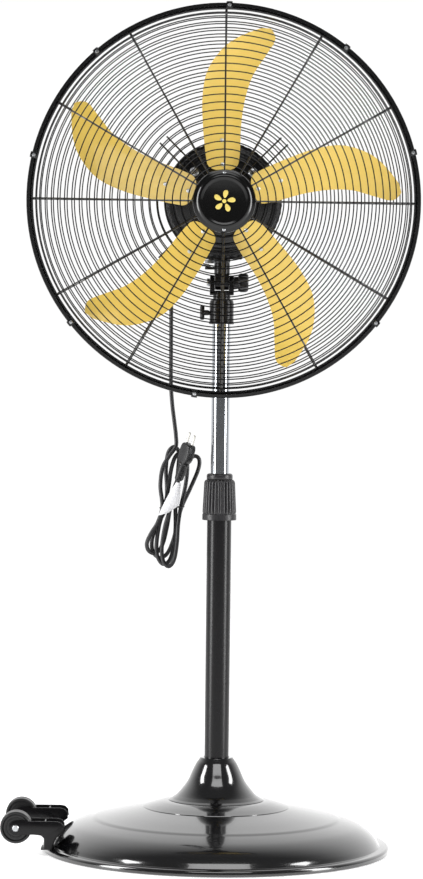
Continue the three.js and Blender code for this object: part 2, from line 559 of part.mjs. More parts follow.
// ---------------------------------------------------------------- guard
/** Distance of the guard's wires from the rim plane at a radius. */
function guardDepth(radius) {
  const next = GUARD_PROFILE.findIndex(([at]) => at >= radius);
  const [[r0, d0], [r1, d1]] = [GUARD_PROFILE[next - 1], GUARD_PROFILE[next]];
  return d0 + ((d1 - d0) * (radius - r0)) / (r1 - r0);
}
function wireRing(radius, y, wire) {
  const half = wire / 2;
  return turnedY([[radius + half, y], [radius - half, y + half], [radius - half, y - half]], 24);
}
/** One guard half; side is -1 for the front and 1 for the rear. */
function guardHalf(side, innerPieces) {
  const spokeLine = GUARD_PROFILE.map(([radius, depth]) => [radius, RIM_Y + side * depth]);
  const spoke = plateZ(outline(strip(spokeLine, SPOKE_WIRE)), -SPOKE_WIRE / 2, SPOKE_WIRE / 2);
  const spokes = Array.from({ length: SPOKES }, (_,
    i) => spoke.clone().rotateY((i * 2 * Math.PI) / SPOKES));
  const rings = GUARD_RINGS.map((radius) => wireRing(radius, RIM_Y + side * guardDepth(radius), RING_WIRE));
  const rimRing = wireRing(346, RIM_Y + side * 4, 3.4);
  return fuse(...spokes, ...rings, rimRing, ...innerPieces);
}
add('front_guard', guardHalf(-1, [wireRing(50, RIM_Y - GUARD_DEPTH, 3.4)]), BLACK_WIRE, head);
const plate = turnedY(sleeve(24, 85, MOTOR_FRONT - 2.3, MOTOR_FRONT - GAP), 24);
const plateRoom = turnedY(sleeve(1, 60, MOTOR_FRONT - 20, MOTOR_FRONT - 2.3), 16);
add('rear_guard', cut(fuse(cut(guardHalf(1, []), plateRoom), plate), ...screwBores(MOTOR_FRONT - 9,
  MOTOR_FRONT + 3)),
  BLACK_WIRE, head);

const channel = [[341, -10], [GUARD_RADIUS, -10], [GUARD_RADIUS, 10], [341, 10], [341, 7.5], [351.5,
  7.5], [351.5, -7.5], [341, -7.5]];
const clips = CLIP_ANGLES.map((degrees) =>
  block(-8, 8, RIM_Y - 12.5, RIM_Y + 12.5, 349,
    GUARD_RADIUS + 3.5).rotateY(THREE.MathUtils.degToRad(degrees)));
add('guard_rim_band', fuse(turnedY(channel.map(([radius, place]) => [radius, RIM_Y + place]), 24),
  ...clips), SATIN_BLACK, head);
const badgeBack = RIM_Y - GUARD_DEPTH - 2.6;
add('guard_badge', turnedY([[0, badgeBack], [56, badgeBack], [56, badgeBack - 6], [50, badgeBack - 11],
  [0, badgeBack - 13]], 24), GLOSS_BLACK, head);

// ---------------------------------------------------------------- cord
// the stretch from the gland to the hank, as [left to right, height], in the plane of the gland
const LEAD_ROUTE = [[-58.6, 1132.9], [-62.6, 1132.9], [-78.1, 1128.7], [-89.4, 1117.4], [-93.6, 1100],
  [-93.6, 1055], [-93.3, 980], [-93, 910], [-92.5, 860], [-89.5, 822], [-85, 788], [-82, 753]];
const LEAD_STEPS = 26;
// outer shape of the tied hank, clockwise from its top
const HANK_OUTLINE = [[-91, 748], [-82, 752.5], [-75, 749], [-77, 714], [-74, 676], [-63, 695], [-50,
  706], [-42, 723],
  [-33, 719], [-38, 699], [-57, 661], [-67, 628], [-76, 586], [-80, 545], [-85, 517], [-96, 517], [-117,
  530],
  [-138, 545], [-142, 564], [-131, 592], [-112, 629], [-111, 657], [-113, 689], [-110, 717]];
const HANK_THICKNESS = 26;
const hankFront = CORD_Y - HANK_THICKNESS / 2;

const leadPath = new THREE.CatmullRomCurve3(LEAD_ROUTE.map(([x, z]) => new THREE.Vector3(x, CORD_Y, z)),
  false, 'centripetal');
const leadSection = new THREE.Shape();
leadSection.absarc(0, 0, CORD_DIAMETER / 2, 0, 2 * Math.PI, false);
add('cord_lead', new THREE.ExtrudeGeometry(leadSection, { steps: LEAD_STEPS, curveSegments: 4,
  extrudePath: leadPath }), CORD_BLACK);
add('cord_hank', plateY(outline(HANK_OUTLINE), hankFront, CORD_Y + HANK_THICKNESS / 2), CORD_BLACK);

/** Two-pin plug with a ground pin, its lead end at the origin, pins up. */
function plugGeometry() {
  const body = outline([[-4.5, 0], [4.5, 0], [7, 30], [14, 42], [15.5, 56], [13, 68], [9, 73], [-9, 73],
    [-13, 68], [-15.5, 56],
    [-14, 42], [-7, 30]]);
  const pins = [-6.3, 6.3].map((x) => block(x - 0.8, x + 0.8, -5, 1.5, 72, 91));
  return fuse(plateY(body, -11, 11), ...pins, rodZ(2.4, 72, 93, 0, 6, 8));
}
add('plug', plugGeometry().rotateY(THREE.MathUtils.degToRad(15)).translate(-76, hankFront - GAP - 11,
  680), CORD_BLACK);

const tieRoom = block(-113.7, -65.9, hankFront - GAP, CORD_Y + HANK_THICKNESS / 2 + GAP, 620, 640);
add('cord_tie', cut(block(-115.2, -64.4, hankFront - GAP - 1.5, CORD_Y + HANK_THICKNESS / 2 + GAP + 1.5,
  627, 630), tieRoom), RUBBER);
add('cord_label', plateY(outline([[-80, 663], [-76, 659], [-78, 629], [-114, 613], [-100, 654]]),
  hankFront - 3.3, hankFront - 2.1), PAPER);

export default fan;
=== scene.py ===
"""Pedestal fan: camera, light and the visual pieces that stand for the parts of the frame."""

import math

import bmesh
import bpy
from mathutils import Matrix, Vector


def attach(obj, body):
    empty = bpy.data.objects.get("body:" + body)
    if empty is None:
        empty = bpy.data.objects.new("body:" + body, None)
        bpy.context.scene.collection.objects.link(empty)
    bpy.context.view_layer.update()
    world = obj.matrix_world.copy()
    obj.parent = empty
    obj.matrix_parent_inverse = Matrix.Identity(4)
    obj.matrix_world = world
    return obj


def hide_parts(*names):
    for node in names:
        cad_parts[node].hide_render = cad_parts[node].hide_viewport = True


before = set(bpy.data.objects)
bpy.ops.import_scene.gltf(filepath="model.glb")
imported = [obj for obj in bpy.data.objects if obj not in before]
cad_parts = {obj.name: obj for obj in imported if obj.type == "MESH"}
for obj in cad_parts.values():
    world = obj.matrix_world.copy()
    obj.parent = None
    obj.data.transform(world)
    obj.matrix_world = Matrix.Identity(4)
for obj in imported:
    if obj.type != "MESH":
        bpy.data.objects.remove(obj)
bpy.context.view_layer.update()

# ---------------------------------------------------------------- driving dimensions, in millimetres
HUB_Z = 1188  # height of the fan's axis, before the head is raised and leaned
RIM_Y = -155  # seam between the guard's two halves
GUARD_DEPTH = 82.4
RING_PITCH = 13.9
SPOKES = 12
REAR_CLOCKING = 0.3  # degrees the rear spokes stand clockwise of the front ones
CLIP_ANGLES = (1, 38, 75, 128, 188, 231, 283, 319)
BLADES = 5
BLADE_Y = -150
TILT_Z = 1047
HEAD_LEAN = 3.4  # degrees the head leans forward at rest; its pieces are drawn level and lower by HEAD_RAISE
HEAD_RAISE = 9.4
LEANING = ("neck", "head", "rotor", "crank", "link", "speed_dial", "clutch")
WHEEL_X, WHEEL_Y, WHEEL_Z = -364, 86, 50
CORD_DIAMETER = 7.7
TAU = 2 * math.pi

scene = bpy.context.scene


# ---------------------------------------------------------------- shapes: (points in millimetres, faces)
def joined(*parts):
    points, faces = [], []
    for part_points, part_faces in parts:
        start = len(points)
        points += part_points
        faces += [[start + i for i in face] for face in part_faces]
    return points, faces


def moved(part, matrix):
    return [matrix @ Vector(p) for p in part[0]], part[1]


def shifted(part, x=0, y=0, z=0):
    return moved(part, Matrix.Translation((x, y, z)))


def to_y(part):
    """Stands a shape made along Z along Y instead."""
    return moved(part, Matrix.Rotation(-math.pi / 2, 4, "X"))


def to_x(part):
    """Lays a shape made along Z along X."""
    return moved(part, Matrix.Rotation(math.pi / 2, 4, "Y"))


def clockwise(part, degrees, centre=(0, 0, HUB_Z)):
    """Turns a shape about the fan's own axis, clockwise as seen from the front."""
    about = Matrix.Translation(centre) @ Matrix.Rotation(math.radians(degrees), 4, "Y")
    return moved(part, about @ Matrix.Translation(-Vector(centre)))


def turned(profile, sides=64, closed=False, wobble=None):
    """A shape turned about Z from (radius, height) points; wobble(...) scales each radius."""
    points, rings, faces = [], [], []
    for radius, height in profile:
        if radius < 1e-6:
            rings.append([len(points)] * sides)
            points.append(Vector((0, 0, height)))
            continue
        rings.append(list(range(len(points), len(points) + sides)))
        for i in range(sides):
            angle = TAU * i / sides
            r = radius * (wobble(angle, radius, height) if wobble else 1)
            points.append(Vector((r * math.cos(angle), r * math.sin(angle), height)))
    pairs = list(zip(rings, rings[1:])) + ([(rings[-1], rings[0])] if closed else [])
    for lower, upper in pairs:
        for i in range(sides):
            j = (i + 1) % sides
            corners = list(dict.fromkeys([lower[i], lower[j], upper[j], upper[i]]))
            if len(corners) > 2:
                faces.append(corners)
    return points, faces


def sleeve(inner, outer, low, high, edge=0.6):
    """Profile of a tube with eased edges, for turned(..., closed=True)."""
    return [(inner, low), (outer - edge, low), (outer, low + edge), (outer, high - edge),
        (outer - edge, high), (inner, high)]


def rod(radius, low, high, edge=0.5, sides=32):
    profile = [(0, low), (radius - edge, low), (radius, low + edge), (radius, high - edge),
        (radius - edge, high), (0, high)]
    return turned(profile, sides)


def prism(outline, low, high, axis="Z"):
    """An outline drawn across the other two axes and drawn out along one."""
    place = {
        "Z": lambda a, b, h: (a, b, h),
        "Y": lambda a, b, h: (a, h, b),
        "X": lambda a, b, h: (h, a, b),
    }[axis]
    count = len(outline)
    points = [Vector(place(a, b, h)) for h in (low, high) for a, b in outline]
    faces = [list(range(count)), list(range(2 * count - 1, count - 1, -1))]
    faces += [[i, (i + 1) % count, count + (i + 1) % count, count + i] for i in range(count)]
    return points, faces


def block(low, high):
    (x0, y0, z0), (x1, y1, z1) = low, high
    return prism([(x0, y0), (x1, y0), (x1, y1), (x0, y1)], z0, z1)


def bevelled(part, width, segments=2, angle=32):
    """The same shape with its sharp edges rounded."""
    bm = bmesh.new()
    verts = [bm.verts.new(p) for p in part[0]]
    for face in part[1]:
        bm.faces.new([verts[i] for i in face])
    bmesh.ops.recalc_face_normals(bm, faces=bm.faces)
    sharp = [e for e in bm.edges if len(e.link_faces) == 2 and e.calc_face_angle() > math.radians(angle)]
    bmesh.ops.bevel(
        bm, geom=sharp, offset=width, offset_type="OFFSET", affect="EDGES", segments=segments,
        profile=0.5,
        material=-1, clamp_overlap=True,
    )
    bm.verts.index_update()
    result = [v.co.copy() for v in bm.verts], [[v.index for v in f.verts] for f in bm.faces]
    bm.free()
    return result


def curve_through(points, steps, loop=False):
    """A Catmull-Rom curve through points, with steps pieces between neighbours."""
    pts = [Vector(p) for p in points]
    count = len(pts)
    line = []
    for i in range(count if loop else count - 1):
        if loop:
            p0, p1, p2, p3 = (pts[(i + k) % count] for k in (-1, 0, 1, 2))
        else:
            p1, p2 = pts[i], pts[i + 1]
            p0 = pts[i - 1] if i else 2 * p1 - p2
            p3 = pts[i + 2] if i + 2 < count else 2 * p2 - p1
        for k in range(steps):
            t = k / steps
            line.append(
                0.5 * (2 * p1 + (p2 - p0) * t + (2 * p0 - 5 * p1 + 4 * p2 - p3) * t**2
                + (3 * p1 - p0 - 3 * p2 + p3) * t**3)
            )
    return line if loop else line + [pts[-1]]


def wire(line, radius, sides=8, loop=False):
    """A round wire along a line, with flat ends unless it is a loop."""
    pts = [Vector(p) for p in line]
    count = len(pts)
    points, faces = [], []
    side = None
    for i, here in enumerate(pts):
        after = pts[(i + 1) % count] if loop or i + 1 < count else here
        before = pts[i - 1] if loop or i else here
        along = (after - before).normalized()
        if side is None:
            side = along.orthogonal().normalized()
        side = (side - along * side.dot(along)).normalized()
        up = along.cross(side)
        points += [here + radius * (math.cos(TAU * k / sides) * side + math.sin(TAU * k / sides) * up)
            for k in range(sides)]
    for i in range(count if loop else count - 1):
        a, b = i * sides, ((i + 1) % count) * sides
        faces += [[a + k, a + (k + 1) % sides, b + (k + 1) % sides, b + k] for k in range(sides)]
    if not loop:
        faces += [list(range(sides)), list(range((count - 1) * sides, count * sides))]
    return points, faces


def ring(radius, wire_radius, y, sides=8, count=144, centre=(0, HUB_Z)):
    """A wire ring round the fan's axis."""
    line = [
        (centre[0] + radius * math.cos(TAU * i / count), y,
        centre[1] + radius * math.sin(TAU * i / count))
        for i in range(count)
    ]
    return wire(line, wire_radius, sides, loop=True)


def piece(name, parts, material, body, stands_for=(), sharp=35):
    """Joins parts, turns millimetres into metres, and adds the object to the fan."""
    points, faces = joined(*parts)
    if body in LEANING:
        lean = Matrix.Translation((0, 0, TILT_Z)) @ Matrix.Rotation(math.radians(HEAD_LEAN), 4, "X")
        raised = 0 if body == "neck" else HEAD_RAISE
        points = [lean @ (Vector(p) + Vector((0, 0, raised - TILT_Z))) for p in points]
    bm = bmesh.new()
    verts = [bm.verts.new(Vector(p) * 0.001) for p in points]
    for face in faces:
        bm.faces.new([verts[i] for i in face])
    bmesh.ops.recalc_face_normals(bm, faces=bm.faces)
    data = bpy.data.meshes.new(name)
    bm.to_mesh(data)
    bm.free()
    data.shade_smooth()
    data.set_sharp_from_angle(angle=math.radians(sharp))
    data.materials.append(material)
    made = bpy.data.objects.new(name, data)
    scene.collection.objects.link(made)
    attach(made, body)
    if stands_for:
        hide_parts(*stands_for)
    return made


# ---------------------------------------------------------------- materials
def colour(code):
    """Linear red, green, blue and alpha of an sRGB hex code."""
    values = [int(code[i : i + 2], 16) / 255 for i in (1, 3, 5)]
    return [v / 12.92 if v <= 0.04045 else ((v + 0.055) / 1.055) ** 2.4 for v in values] + [1]


def add_node(tree, kind, **settings):
    """A new node; a setting named like a socket fills that socket, and any other sets a property."""
    node = tree.nodes.new(kind)
    for key, value in settings.items():
        socket = node.inputs.get(key.replace("_", " "))
        if socket is None:
            setattr(node, key, value)
        elif isinstance(value, bpy.types.NodeSocket):
            tree.links.new(value, socket)
        else:
            socket.default_value = value
    return node


def finish(name, tint, second, rough, metal=0.0, coat=0.0, grain=60.0, spread=0.05, bump=0.05,
    detail=400.0, **shader):
    """A surface whose colour drifts between two tints, with uneven gloss and a fine bump."""
    material = bpy.data.materials.new(name)
    material.use_nodes = True
    tree = material.node_tree
    surface = tree.nodes["Principled BSDF"]
    place = add_node(tree, "ShaderNodeTexCoord").outputs["Object"]
    drift = add_node(tree, "ShaderNodeTexNoise", Vector=place, Scale=grain, Detail=3.0).outputs["Fac"]
    mixed = add_node(tree, "ShaderNodeMix", data_type="RGBA")
    mixed.inputs["Factor"].default_value = 0.5
    mixed.inputs[6].default_value = colour(tint)
    mixed.inputs[7].default_value = colour(second)
    tree.links.new(drift, mixed.inputs["Factor"])
    tree.links.new(mixed.outputs[2], surface.inputs["Base Color"])
    gloss = add_node(tree, "ShaderNodeMapRange", Value=drift)
    gloss.inputs["To Min"].default_value = max(0.02, rough - spread)
    gloss.inputs["To Max"].default_value = rough + spread
    tree.links.new(gloss.outputs[0], surface.inputs["Roughness"])
    fine = add_node(tree, "ShaderNodeTexNoise", Vector=place, Scale=detail, Detail=2.0).outputs["Fac"]
    relief = add_node(tree, "ShaderNodeBump", Height=fine, Strength=bump, Distance=0.0005)
    tree.links.new(relief.outputs[0], surface.inputs["Normal"])
    surface.inputs["Metallic"].default_value = metal
    surface.inputs["Coat Weight"].default_value = coat
    surface.inputs["Coat Roughness"].default_value = 0.06
    for key, value in shader.items():
        surface.inputs[key.replace("_", " ")].default_value = value
    return material


# stove-enamelled pressed steel of the base and its flare
GLOSS = finish("gloss_black_enamel", "#050506", "#08080a", 0.16, coat=0.9, grain=9, spread=0.03,
    bump=0.02, Coat_IOR=1.6)
# powder-coated steel of the outer pole and the motor
SATIN = finish("satin_black_powder_coat", "#060507", "#09080a", 0.27, grain=40, spread=0.04, bump=0.02,
    detail=900, Specular_IOR_Level=0.3)
# dipped steel wire of the guard
WIRE = finish("black_coated_wire", "#060607", "#0a0a0b", 0.22, grain=30, spread=0.05, bump=0.04)
# moulded nylon of the collar and the knobs
PLASTIC = finish("black_nylon", "#111012", "#18161a", 0.36, grain=70, spread=0.06, bump=0.15, detail=2200)
# polished acrylonitrile moulding of the badge
BADGE = finish("gloss_black_moulding", "#040404", "#070707", 0.14, grain=15, spread=0.02, bump=0.01,
    Specular_IOR_Level=0.4)
# chrome plate on the sliding pole
CHROME = finish("chrome_plate", "#b4b8bd", "#c2c6cb", 0.1, metal=1.0, grain=20, spread=0.03, bump=0.02)
# bright zinc plate on screws
ZINC = finish("zinc_plate", "#b3b5b8", "#c9cbcd", 0.28, metal=1.0, grain=150, spread=0.08, bump=0.1)
# bare turned or laminated steel
STEEL = finish("bare_steel", "#8b8d91", "#a0a2a6", 0.36, metal=1.0, grain=90, spread=0.08, bump=0.12)
# aluminium rivets
ALUMINIUM = finish("aluminium_rivet", "#c4c6c9", "#d8dadc", 0.3, metal=1.0, grain=200, spread=0.08,
    bump=0.1)
# stove enamel on the pressed blades
YELLOW = finish("golden_yellow_enamel", "#d9b750", "#e4c35c", 0.34, coat=0.3, grain=6, spread=0.05,
    bump=0.03)
# varnished copper of the windings
COPPER = finish("varnished_copper", "#8c4a22", "#a95f30", 0.35, metal=0.9, grain=220, spread=0.1,
    bump=0.4)
# rough casting of the ballast ring
IRON = finish("cast_iron", "#3a3a3c", "#4a4a4b", 0.7, metal=0.6, grain=60, spread=0.1, bump=0.5)
# hard moulded rubber of the wheels
RUBBER = finish("wheel_rubber", "#0b0b0c", "#121213", 0.34, grain=80, spread=0.06, bump=0.1)
# soft vinyl jacket of the cord
CORD = finish("cord_jacket", "#0f0f11", "#17171a", 0.38, grain=50, spread=0.08, bump=0.1)
# coated paper of the label
PAPER = finish("label_paper", "#d6d6da", "#e6e6e8", 0.55, grain=120, spread=0.05, bump=0.1)
# tinned brass of the plug's pins
PIN = finish("tinned_pin", "#b9b7b0", "#cfcdc8", 0.25, metal=1.0, grain=150, spread=0.06, bump=0.05)
# gold foil print on the badge
MOTIF = finish("gold_print", "#cdb657", "#dcc86c", 0.4, grain=200, spread=0.05, bump=0.05)


# ---------------------------------------------------------------- camera, floor and light
CAMERA_DISTANCE = 5.5
CAMERA_HEIGHT = 0.866
CAMERA_TURN = -0.4
CAMERA_ROLL = 0.65
CAMERA_ASIDE = -0.0172
FOCAL = 121.77
SHIFT = -0.0673
FRONT_LIGHT = 0.16
BACK_LIGHT = 1.25

camera_data = bpy.data.cameras.new("camera")
camera_data.sensor_width = 36
camera_data.lens = FOCAL
camera_data.shift_y = SHIFT
camera_data.clip_end = 60
camera = bpy.data.objects.new("camera", camera_data)
scene.collection.objects.link(camera)
turn = Matrix.Rotation(math.radians(CAMERA_TURN), 4, "Z")
stand_off = Matrix.Translation((CAMERA_ASIDE, -CAMERA_DISTANCE, CAMERA_HEIGHT))
upright = Matrix.Rotation(math.pi / 2, 4, "X")
camera.matrix_world = turn @ stand_off @ upright @ Matrix.Rotation(math.radians(CAMERA_ROLL), 4, "Z")
scene.camera = camera

floor_data = bpy.data.meshes.new("floor")
floor_data.from_pydata([(-9, -9, -0.001), (9, -9, -0.001), (9, 9, -0.001), (-9, 9, -0.001)], [],
    [(0, 1, 2, 3)])
floor = bpy.data.objects.new("floor", floor_data)
floor_data.materials.append(finish("pale_floor", "#f4f4f4", "#f8f8f8", 0.6, grain=2, bump=0.0))
scene.collection.objects.link(floor)
floor_shader = floor_data.materials[0].node_tree.nodes["Principled BSDF"]
floor_shader.inputs["Emission Color"].default_value = (1, 1, 1, 1)
floor_shader.inputs["Emission Strength"].default_value = 0.5

world = bpy.data.worlds.new("studio")
world.use_nodes = True
scene.world = world
sky = world.node_tree
# white all round for the camera; for light and reflections white behind and dim on the camera's side
direction = add_node(sky, "ShaderNodeTexCoord").outputs["Generated"]
behind = add_node(sky, "ShaderNodeSeparateXYZ", Vector=direction).outputs["Y"]
ramp = add_node(sky, "ShaderNodeMapRange", Value=behind, interpolation_type="SMOOTHSTEP")
ramp.inputs["From Min"].default_value = -0.1
ramp.inputs["From Max"].default_value = 0.7
ramp.inputs["To Min"].default_value = FRONT_LIGHT
ramp.inputs["To Max"].default_value = BACK_LIGHT
seen = add_node(sky, "ShaderNodeLightPath").outputs["Is Camera Ray"]
strength = add_node(sky, "ShaderNodeMix", data_type="FLOAT", Factor=seen)
sky.links.new(ramp.outputs[0], strength.inputs["A"])
strength.inputs["B"].default_value = 1.02
backdrop = sky.nodes["Background"]
backdrop.inputs["Color"].default_value = (1, 1, 1, 1)
sky.links.new(strength.outputs[0], backdrop.inputs["Strength"])
scene.view_settings.view_transform = "Standard"


def soft_light(name, place, aim, size, power):
    """A white soft box aimed at a point, all in metres."""
    data = bpy.data.lights.new(name, "AREA")
    data.shape = "RECTANGLE"
    data.size, data.size_y = size
    data.energy = power
    light = bpy.data.objects.new(name, data)
    scene.collection.objects.link(light)
    light.location = place
    light.rotation_euler = (Vector(aim) - Vector(place)).to_track_quat("-Z", "Y").to_euler()
    return light


soft_light("side_left", (-2.7, -1.0, 1.3), (0, -0.1, 1.0), (0.8, 2.6), 85)
soft_light("side_right", (2.7, -1.0, 1.3), (0, -0.1, 1.0), (0.8, 2.6), 75)
soft_light("high_front", (0.2, -3.6, 4.4), (0, 0, 1.0), (3.4, 2.2), 85)


# ---------------------------------------------------------------- guard
GUARD_PROFILE = ((50, 82.4), (100, 81.4), (150, 79.6), (200, 75), (245, 66), (285, 54), (312, 38),
    (329, 24), (340, 12), (346, 6.4))


EDGE_RINGS = ((336.5, 16.2), (343.6, 8.8), (345.8, 4.2))


def guard_line(side, steps=6):
    """Points (radius, Y) along one guard half from its inner ring to its rim; side is -1 for the front."""
    flat = curve_through([(r, d, 0) for r, d in GUARD_PROFILE], steps)
    return [(p.x, RIM_Y + side * p.y) for p in flat]


def spaced(line, pitch):
    """Points at even distances along a line of (radius, Y)."""
    spots, left = [line[0]], pitch
    for (r0, y0), (r1, y1) in zip(line, line[1:]):
        gap = math.hypot(r1 - r0, y1 - y0)
        while gap >= left:
            share = left / gap
            r0, y0 = r0 + (r1 - r0) * share, y0 + (y1 - y0) * share
            spots.append((r0, y0))
            gap, left = gap - left, pitch
        left -= gap
    return spots


def guard_half(side):
    """The ring wires and the radial spokes of one guard half."""
    line = guard_line(side)
    rings = [ring(r, 1.1, y, sides=6, count=120) for r, y in spaced(line, RING_PITCH)[1:-1]]
    rings.append(ring(line[0][0], 1.8, line[0][1], sides=8, count=96))
    rings += [ring(r, 1.1, RIM_Y + side * y, sides=6, count=144) for r, y in EDGE_RINGS]
    spoke = wire([(0, y + side * -2.4, HUB_Z + r) for r, y in line], 1.55, sides=8)
    clocked = REAR_CLOCKING if side > 0 else 0
    return rings + [clockwise(spoke, clocked + i * 360 / SPOKES) for i in range(SPOKES)]


piece("front_guard_wires", guard_half(-1), WIRE, "head", ["front_guard"])

rear_parts = guard_half(1)
for quarter in range(4):
    for aside in (-8.5, 8.5):
        strut = wire([(aside, -75.4, HUB_Z + 56), (aside, -77.6, HUB_Z + 150),
            (aside, -76.6, HUB_Z + 156)], 1.6)
        rear_parts.append(clockwise(strut, 45 + quarter * 90))
plate = turned([(24, -72.3), (84, -72.3), (85, -71.8), (85, -70.3), (24, -70.3)], 72, closed=True)
rear_parts.append(shifted(to_y(plate), z=HUB_Z))
piece("rear_guard_wires", rear_parts, WIRE, "head", ["rear_guard"])

band = turned(
    [(347.4, -10), (352.5, -10), (353.7, -8.8), (354, -6), (354, 6), (353.7, 8.8), (352.5, 10),
    (347.4, 10), (347.4, 8),
     (351.8, 7.5), (351.8, -7.5), (347.4, -8)], 160, closed=True,
)
band_parts = [shifted(to_y(band), y=RIM_Y, z=HUB_Z)]
screw_parts = []
for angle in CLIP_ANGLES:
    outline = [(-12.5, 350), (12.5, 350), (12.5, 355), (10, 356.4), (-10, 356.4), (-12.5, 355)]
    strap = prism(outline, -5.5, 5.5, "X")
    band_parts.append(clockwise(shifted(bevelled(strap, 0.8), y=RIM_Y, z=HUB_Z), angle))
    face = prism([(-5.5, 344), (5.5, 344), (5.5, 353), (3.5, 356.4), (-3.5, 356.4), (-5.5, 353)], -13,
        -10.2, "Y")
    band_parts.append(clockwise(shifted(bevelled(face, 0.6), y=RIM_Y, z=HUB_Z), angle))
    head = turned([(0, -15.6), (2.4, -15.4), (3.3, -14.4), (3.5, -13), (0, -13)], 20)
    screw_parts.append(clockwise(shifted(to_y(head), y=RIM_Y, z=HUB_Z + 349.6), angle))
piece("guard_rim_channel", band_parts, WIRE, "head", ["guard_rim_band"])
piece("guard_clip_screws", screw_parts, ZINC, "head")

# badge: stepped gloss moulding with a plain raised rosette
badge_back = RIM_Y - GUARD_DEPTH - 2.6
badge_face = [
    (0, 0), (55.4, 0), (56, 0.8), (56, 4), (54.8, 6.4), (52.4, 7.6), (50, 7.8), (48.4, 8.8), (46.6, 10.6),
    (44, 11.6),
    (41.4, 11.4), (39.6, 10.2), (38.4, 9.6), (37, 9.4), (0, 9.8),
]
badge = turned([(r, -h) for r, h in badge_face], 96)
piece("badge_moulding", [shifted(to_y(badge), y=badge_back, z=HUB_Z)], BADGE, "head", ["guard_badge"])
petals = []
for i in range(5):
    petal = [(7 * math.sin(t) * (1 - 0.3 * math.cos(t)), 12.4 - 7 * math.cos(t))
        for t in (TAU * k / 20 for k in range(20))]
    leaf = prism([(a * 0.62 + b * 0.16, b) for a, b in petal], -11.6, -8.9, "Y")
    petals.append(clockwise(shifted(bevelled(leaf, 0.5), y=badge_back, z=HUB_Z), i * 72))
petals.append(shifted(to_y(turned([(0, -12), (3, -11.6), (3.6, -10.8), (3.6, -9), (0, -9)], 24)),
    y=badge_back, z=HUB_Z))
piece("badge_motif", petals, MOTIF, "head")
badge_screws = [
    shifted(to_y(turned([(0, -9.6), (1.8, -9.4), (2.6, -8.6), (2.7, -7), (0, -7)], 20)), y=badge_back,
    z=HUB_Z + side * 50.6)
    for side in (-1, 1)
]
piece("badge_screws", badge_screws, ZINC, "head")

# ---------------------------------------------------------------- blades and spider
TRAILING_EDGE = ((-29, 56), (-34.5, 90), (-39, 135), (-40.5, 184), (-33, 230), (-10, 267), (17, 290),
    (60, 310))
LEADING_EDGE = ((24, 56), (28.5, 90), (30, 138), (36.5, 184), (50, 226), (73, 262), (89, 289), (84, 310))
BLADE_ALONG = 48
BLADE_ACROSS = 16


def blade_depth(across, up):
    """Depth of the blade's surface: pitched so that the clockwise side lies further back."""
    radius = math.hypot(across, up)
    outward = max(0, (radius - 130) / 190)
    lean = math.radians(-2.5 + 14 * max(0, (radius - 110) / 200) ** 2.2)
    sideways = radius * math.sin(math.atan2(across, up) - lean)
    return sideways * (0.46 - 0.17 * outward) + 5 * outward * (1 - (sideways / 42) ** 2)


def spot_on(line, share):
    """The point at a share of a line's points."""
    at = share * (len(line) - 1)
    i = min(int(at), len(line) - 2)
    return line[i].lerp(line[i + 1], at - i)


def blade_sheet():
    """One pressed blade standing upright, with a rounded root and tip and a stiffening crease."""
    left = curve_through([(a, b, 0) for a, b in TRAILING_EDGE], 8)
    right = curve_through([(a, b, 0) for a, b in LEADING_EDGE], 8)
    front, back = [], []
    for j in range(BLADE_ALONG + 1):
        v = 0.5 - 0.5 * math.cos(math.pi * j / BLADE_ALONG)
        near = min(v * 250 / 14, 1)
        far = min((1 - v) * 250 / 20, 1)
        inset = 1 - (1 - (1 - near) ** 2) ** 0.5, 1 - (1 - (1 - far) ** 2) ** 0.5
        narrow = 0.30 * inset[0] + 0.16 * inset[1]
        a, b = spot_on(left, v), spot_on(right, v)
        for i in range(BLADE_ACROSS + 1):
            u = 0.5 - 0.5 * math.cos(math.pi * i / BLADE_ACROSS)
            u = 0.5 + (u - 0.5) * (1 - 2 * narrow)
            place = a.lerp(b, u)
            crease = 0.9 * math.exp(-(((u - 0.8) / 0.05) ** 2)) * math.sin(math.pi
                * min(1, max(0, (v - 0.12) / 0.75)))
            depth = BLADE_Y + blade_depth(place.x, place.y) + crease
            front.append(Vector((place.x, depth - 0.75, place.y)))
            back.append(Vector((place.x, depth + 0.75, place.y)))
    row = BLADE_ACROSS + 1
    faces = []
    for j in range(BLADE_ALONG):
        for i in range(BLADE_ACROSS):
            k = j * row + i
            faces.append([k, k + 1, k + row + 1, k + row])
            faces.append([len(front) + n for n in (k, k + row, k + row + 1, k + 1)])
    border = [i for i in range(row)] + [j * row + row - 1 for j in range(1, BLADE_ALONG + 1)]
    border += [BLADE_ALONG * row + i for i in range(row - 2, -1, -1)] + [j * row
        for j in range(BLADE_ALONG - 1, 0, -1)]
    for here, after in zip(border, border[1:] + border[:1]):
        faces.append([here, after, len(front) + after, len(front) + here])
    return front + back, faces


RIVET = [(0, -2.6), (2.2, -2.3), (3.4, -1.5), (3.9, -0.5), (3.9, 0.4), (0, 0.4)]
sheet = blade_sheet()
rivets = []
for i in range(BLADES):
    turn_by = i * 360 / BLADES
    piece(f"blade_{i + 1}_pressing", [clockwise(shifted(sheet, z=HUB_Z), turn_by)], YELLOW, "rotor",
        [f"blade_{i + 1}"])
    for radius in (66, 109):
        across = -math.sin(math.radians(2.5)) * radius
        tilt = Matrix.Rotation(math.atan(0.46), 4, "Z")
        button = moved(to_y(turned(RIVET, 20)), tilt)
        placed = shifted(button, across, BLADE_Y - 0.6 + blade_depth(across, radius), HUB_Z + radius)
        rivets.append(clockwise(placed, turn_by))
piece("blade_rivets", rivets, ALUMINIUM, "rotor")

